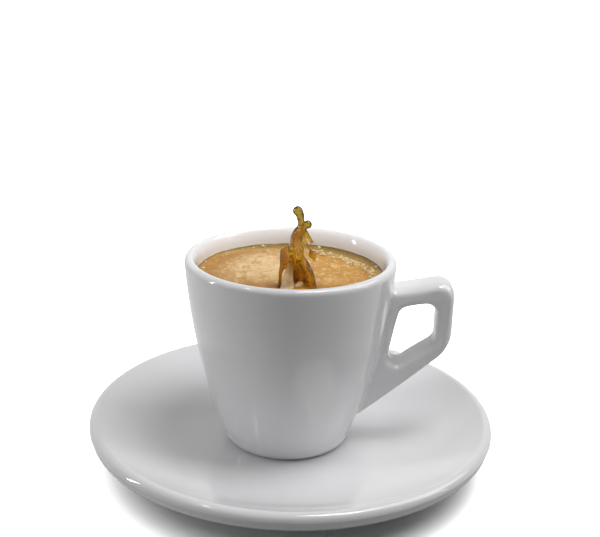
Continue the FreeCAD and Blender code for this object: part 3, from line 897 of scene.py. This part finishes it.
def melted(name, strands, voxel, smoothing):
    """Balls strung along each strand, melted into one skin and smoothed like a liquid."""
    foot = Vector((SPLASH_ACROSS, SPLASH_FRONT, CREMA_TOP))
    ball = small_ball()
    balls = []
    for strand, sections in strands.items():
        for spot, radius in strand_places(sections, strand in TWISTED):
            radius = radius * MELT_SPREAD + MELT_LOSS
            balls.append(copied(ball, foot + spot, (radius, radius, radius)))
    bpy.data.objects.remove(ball)
    piece = joined(balls, name)
    modify(piece, "REMESH", mode="VOXEL", voxel_size=voxel, adaptivity=0.0)
    modify(piece, "SMOOTH", factor=0.5, iterations=smoothing)
    swell = [vertex.normal * (noise.noise(vertex.co * 420) * 0.10 * MM
                              + noise.noise(vertex.co * 1100) * 0.05 * MM)
             for vertex in piece.data.vertices]
    for vertex, move in zip(piece.data.vertices, swell):
        vertex.co += move
    pick(piece)
    bpy.ops.object.shade_smooth()
    return piece


def build_splash():
    """The clear coffee that leaps out of the cup."""
    return melted("coffee_splash", STRANDS, 0.13 * MM, 7)


def build_splash_foam():
    """The milky skin on its left and the foam round its foot."""
    return melted("splash_foam", FOAM_STRANDS, 0.15 * MM, 8)


BUBBLES = 300
MARGIN_SHARE = 0.75            # this share of them lies along the border of the olive margin


def build_bubbles():
    """Small domes of foam along the edge of the crema, most of them at the back right."""
    draw = random.Random(11)
    dome = small_ball()
    domes = []
    for _ in range(BUBBLES):
        if draw.random() < MARGIN_SHARE:
            angle = math.radians(draw.gauss(36, 26))
            behind = (math.sin(angle) + 0.45 * math.cos(angle)) * CREMA_RADIUS / (24 * MM)
            behind = min(max(behind, 0), 1)
            out = CREMA_RADIUS - (0.9 + 4.4 * behind + draw.gauss(0.0, 0.9)) * MM
        else:
            angle = math.radians(draw.uniform(0, 360))
            out = CREMA_RADIUS - abs(draw.gauss(0.0, 1.2)) * MM
        out = min(out, CREMA_RADIUS - 0.4 * MM)
        size = min(0.14 + draw.expovariate(6.0), 0.62) * MM
        place = (CUP_ACROSS + out * math.cos(angle), out * math.sin(angle),
                 CREMA_TOP + 0.15 * MM + size * 0.1)
        domes.append(copied(dome, place, (size, size, size * 0.8)))
    bpy.data.objects.remove(dome)
    piece = joined(domes, "crema_bubbles")
    bpy.ops.object.shade_smooth()
    return piece


# ---- studio ----

TABLE_RADIUS = 4.0
TABLE_LIGHT = 7.2
TABLE_LIGHT_SPREAD = 96                # degrees
TABLE_LIGHT_WAY = (0.14, -0.06, -1.0)
TABLE_WHITE = 0.86                     # the table as the lens sees it
TABLE_SHINE = 0.26                     # as the glaze mirrors it
TABLE_BOUNCE = 0.068                   # and as it lights the cup and saucer from below

SURROUND_BASE = 0.07                   # light from all round, then what each side adds
SURROUND_BACK = 0.95
SURROUND_LEFT = 0.60
SURROUND_RIGHT = 0.18
SEEN_THROUGH = 0.85                    # how white the surround is through the clear coffee

# Soft lights that face the saucer: name, place, size across and along, power.
SOFT_LIGHTS = (
    ("key", (0.50, 0.06, 0.60), (0.50, 0.60), 2.5),
    ("overhead", (0.18, -0.04, 0.78), (0.26, 0.26), 2.1),
    ("left_strip", (-0.60, -0.04, 0.16), (0.03, 0.25), 0.80),
    ("right_strip", (0.60, -0.06, 0.20), (0.03, 0.50), 0.20),
    ("front_strip", (0.0, -0.34, 0.70), (0.90, 0.03), 0.22),
    ("glint", (-0.30, -0.10, 0.62), (0.05, 0.05), 0.20),
)
MOUTH_SIZE = (0.07, 0.03)
MOUTH_ABOVE = 75 * MM
MOUTH_POWER = 0.0056
MOUTH_SPREAD = 56                      # degrees

CAMERA_PLACE = (0, -286.4 * MM, 158.68 * MM)
CAMERA_WAY = (0.00501, 0.94628, -0.32330)
CAMERA_ROLL = 0.028
CAMERA_LENS = 62.9                     # for a sensor 36 wide
CAMERA_SENSOR = 36.0


def build_floor():
    """A wide white table, lit by a soft light of its own so that it stays white."""
    start_clean()
    bpy.ops.mesh.primitive_circle_add(vertices=96, radius=TABLE_RADIUS, fill_type="NGON")
    floor = bpy.context.object
    floor.name = "floor"
    shader = Shader("pale_floor")
    shader.set(Roughness=0.7, Specular_IOR_Level=0.1)
    ray = shader.node("ShaderNodeLightPath", {}, {})
    tone = shader.blend(ray["Is Camera Ray"], grey(TABLE_SHINE), grey(TABLE_WHITE))
    shader.set(Base_Color=shader.blend(ray["Is Diffuse Ray"], tone, grey(TABLE_BOUNCE)))
    floor.data.materials.append(shader.material)
    data = bpy.data.lights.new("table_light", "SUN")
    data.angle = math.radians(TABLE_LIGHT_SPREAD)
    data.energy = TABLE_LIGHT
    light = bpy.data.objects.new("table_light", data)
    bpy.context.scene.collection.objects.link(light)
    light.rotation_euler = Vector(TABLE_LIGHT_WAY).to_track_quat("-Z", "Y").to_euler()
    only = bpy.data.collections.new("table_only")
    only.objects.link(floor)
    light.light_linking.receiver_collection = only


def build_surround():
    """White to the lens. To the cup it is bright behind, less so at the sides, dim elsewhere."""
    shader = Shader("studio", "worlds")
    bpy.context.scene.world = shader.material
    shader.tree.nodes.clear()

    def lobe(axis, sign, strength):
        """Light from one side, strongest at the horizon."""
        return (axis * sign).math("MAXIMUM", 0.0) ** 3.0 * strength

    toward = shader.node("ShaderNodeTexCoord", {}, {})["Generated"]
    across, along = shader.axes(toward)[:2]
    level = (lobe(along, 1.0, SURROUND_BACK) + SURROUND_BASE
             + lobe(across, -1.0, SURROUND_LEFT) + lobe(across, 1.0, SURROUND_RIGHT))
    light = shader.node("ShaderNodeBackground", {}, {"Strength": level})["Background"]
    shown = shader.node("ShaderNodeBackground", {}, {"Color": grey(1.0)})["Background"]
    ray = shader.node("ShaderNodeLightPath", {}, {})
    white = ray["Is Camera Ray"].math("MAXIMUM", ray["Is Transmission Ray"] * SEEN_THROUGH)
    mixed = shader.node("ShaderNodeMixShader", {}, {0: white, 1: light, 2: shown})["Shader"]
    shader.node("ShaderNodeOutputWorld", {}, {"Surface": mixed})


def soft_light(name, place, toward, size, power):
    """A rectangular light that the lens doesn't see."""
    data = bpy.data.lights.new(name, "AREA")
    data.shape = "RECTANGLE"
    data.size, data.size_y = size
    data.energy = power
    light = bpy.data.objects.new(name, data)
    bpy.context.scene.collection.objects.link(light)
    light.location = place
    light.rotation_euler = (Vector(toward) - Vector(place)).to_track_quat("-Z", "Y").to_euler()
    light.visible_camera = False
    return light


def build_lights():
    """The soft lights round the saucer, and a small one for the inside of the cup."""
    middle = (0, 0, SAUCER_HIGH.z * 2)
    for name, place, size, power in SOFT_LIGHTS:
        soft_light(name, place, middle, size, power)
    # over the near rim: it brightens the far inside of the wall and the splash
    mouth = soft_light("mouth", (CUP_ACROSS, -RIM_RADIUS * 1.1, CREMA_TOP + MOUTH_ABOVE),
                       (CUP_ACROSS, RIM_RADIUS * 0.6, CREMA_TOP), MOUTH_SIZE, MOUTH_POWER)
    mouth.data.spread = math.radians(MOUTH_SPREAD)
    mouth.visible_glossy = False


def build_camera():
    """The lens stands in front of the cup and looks down on it, rolled a touch."""
    data = bpy.data.cameras.new("camera")
    data.lens = CAMERA_LENS
    data.sensor_width = CAMERA_SENSOR
    data.clip_start = 0.01
    camera = bpy.data.objects.new("camera", data)
    bpy.context.scene.collection.objects.link(camera)
    forward = Vector(CAMERA_WAY).normalized()
    right = forward.cross(Vector((0, 0, 1))).normalized()
    up = right.cross(forward)
    level, tilt = math.cos(CAMERA_ROLL), math.sin(CAMERA_ROLL)
    right, up = right * level + up * tilt, up * level - right * tilt
    turn = Matrix((right, up, -forward)).transposed().to_4x4()
    camera.matrix_world = Matrix.Translation(CAMERA_PLACE) @ turn
    bpy.context.scene.camera = camera


build_camera()
build_floor()
build_surround()
build_lights()
bpy.context.scene.view_settings.view_transform = "Standard"

glaze = porcelain()
finish_piece(turned_piece("saucer_dish", saucer_section()), glaze, "porcelain", "saucer")
finish_piece(build_cup(), glaze, "porcelain", "cup")
finish_piece(build_crema(), crema_material(), "crema", "crema")
finish_piece(build_splash(), splash_material(), "splash", "splash")
finish_piece(build_splash_foam(), skin_material(), "splash")
finish_piece(build_bubbles(), bubble_material(), "crema")
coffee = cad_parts["espresso"]
coffee.data.materials.clear()
coffee.data.materials.append(coffee_material())
